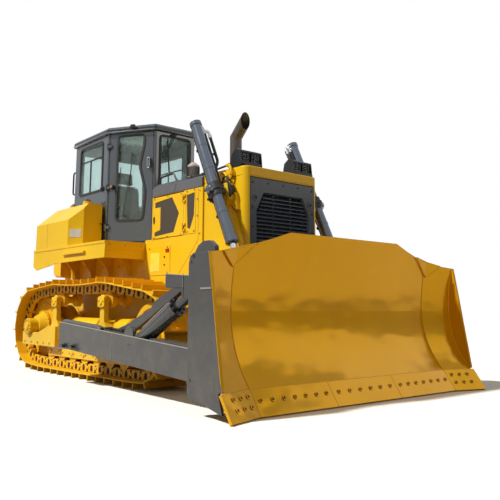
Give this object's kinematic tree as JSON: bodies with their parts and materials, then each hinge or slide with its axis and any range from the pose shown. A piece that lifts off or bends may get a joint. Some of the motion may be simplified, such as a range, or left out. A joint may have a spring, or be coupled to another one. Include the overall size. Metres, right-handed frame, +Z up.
{
  "type": "crawler bulldozer",
  "caption": "Crawler bulldozer with a semi-U blade on push arms, lift cylinders on the radiator guard, a faceted cab and opening doors.",
  "frame": {"origin": "on the ground, midway between the blade's foremost edge and the drawbar's rear end, in the machine's middle plane", "axes": "+X forward, towards the blade; +Y to the operator's left; +Z up"},
  "size_m": [6.1056, 3.724, 3.4872],
  "materials": {
    "yellow_paint": "semi-gloss machine yellow",
    "gold_paint": "glossy ochre",
    "grey_paint": "satin dark grey",
    "band_paint": "satin mid grey",
    "black_paint": "satin black",
    "track_steel": "yellow paint over steel",
    "bright_rod": "polished rod",
    "engine_iron": "cast",
    "radiator_black": "matt black",
    "cab_glass": "tinted",
    "seat_fabric": "woven",
    "cab_plastic": "grained"
  },
  "bodies": {
    "machine": {"main_frame": "yellow_paint", "engine_block": "engine_iron", "radiator_core": "radiator_black", "side_panels": "yellow_paint", "hood": "yellow_paint", "hood_bands": "band_paint", "radiator_guard": "yellow_paint", "grille_mask": "black_paint", "work_lamps": "black_paint", "exhaust_stack": "black_paint", "air_precleaner": "yellow_paint", "fender_right": "yellow_paint", "fender_left": "yellow_paint", "side_tank_right": "yellow_paint", "side_tank_left": "yellow_paint", "rear_tank": "yellow_paint", "cab_shell": "grey_paint", "cab_roof": "grey_paint", "cab_glass": "cab_glass", "operator_seat": "seat_fabric", "control_console": "cab_plastic", "handrails": "black_paint", "track_frame_right": "yellow_paint", "track_frame_left": "yellow_paint", "equalizer_bar": "yellow_paint", "track_right": "track_steel", "track_left": "track_steel", "sprockets": "track_steel", "idlers": "track_steel", "track_rollers": "track_steel", "carrier_rollers": "track_steel", "final_drives": "yellow_paint", "drawbar": "yellow_paint"},
    "blade": {"blade_moldboard": "gold_paint", "blade_frame": "grey_paint", "cutting_edge": "gold_paint", "end_bits": "gold_paint", "push_arms": "grey_paint", "tilt_cylinder": "grey_paint", "tilt_brace": "grey_paint"},
    "lift_barrel_right": {"lift_barrel_right": "grey_paint"},
    "lift_rod_right": {"lift_rod_right": "bright_rod"},
    "cab_door_right": {"cab_door_right": "grey_paint", "door_glass_right": "cab_glass"},
    "engine_door_right": {"engine_door_right": "yellow_paint"},
    "lift_barrel_left": {"lift_barrel_left": "grey_paint"},
    "lift_rod_left": {"lift_rod_left": "bright_rod"},
    "cab_door_left": {"cab_door_left": "grey_paint", "door_glass_left": "cab_glass"},
    "engine_door_left": {"engine_door_left": "yellow_paint"}
  },
  "joints": [
    {"name": "blade_lift", "type": "hinge", "parent": "machine", "child": "blade", "pos_m": [-0.39279, 0, 0.565], "axis": [0, -1, 0], "range_deg": [-9.5, 21]},
    {"name": "barrel_swing_right", "type": "hinge", "parent": "machine", "child": "lift_barrel_right", "pos_m": [1.45721, -0.8, 2.2], "axis": [0, -1, 0], "range_deg": [-5.9, 13.1]},
    {"name": "rod_slide_right", "type": "slide", "parent": "lift_barrel_right", "child": "lift_rod_right", "axis": [0.4298, 0, -0.9029], "range_m": [-0.887, 0.402]},
    {"name": "barrel_swing_left", "type": "hinge", "parent": "machine", "child": "lift_barrel_left", "pos_m": [1.45721, 0.8, 2.2], "axis": [0, -1, 0], "range_deg": [-5.9, 13.1]},
    {"name": "rod_slide_left", "type": "slide", "parent": "lift_barrel_left", "child": "lift_rod_left", "axis": [0.4298, 0, -0.9029], "range_m": [-0.887, 0.402]},
    {"name": "cab_door_right", "type": "hinge", "parent": "machine", "child": "cab_door_right", "pos_m": [-1.1725, -0.74715, 2.6], "axis": [0, 0, -1], "range_deg": [0, 105]},
    {"name": "engine_door_right", "type": "hinge", "parent": "machine", "child": "engine_door_right", "pos_m": [0.55721, -0.616, 2.06], "axis": [0, 0, 1], "range_deg": [0, 100]},
    {"name": "cab_door_left", "type": "hinge", "parent": "machine", "child": "cab_door_left", "pos_m": [-1.1725, 0.74715, 2.6], "axis": [0, 0, 1], "range_deg": [0, 105]},
    {"name": "engine_door_left", "type": "hinge", "parent": "machine", "child": "engine_door_left", "pos_m": [0.55721, 0.616, 2.06], "axis": [0, 0, -1], "range_deg": [0, 100]}
  ],
  "couplings": [
    {"joint": "barrel_swing_right", "follows": "blade_lift", "ratio": 0.62},
    {"joint": "rod_slide_right", "follows": "blade_lift", "m_per_rad": -2.418},
    {"joint": "barrel_swing_left", "follows": "blade_lift", "ratio": 0.62},
    {"joint": "rod_slide_left", "follows": "blade_lift", "m_per_rad": -2.418}
  ]
}
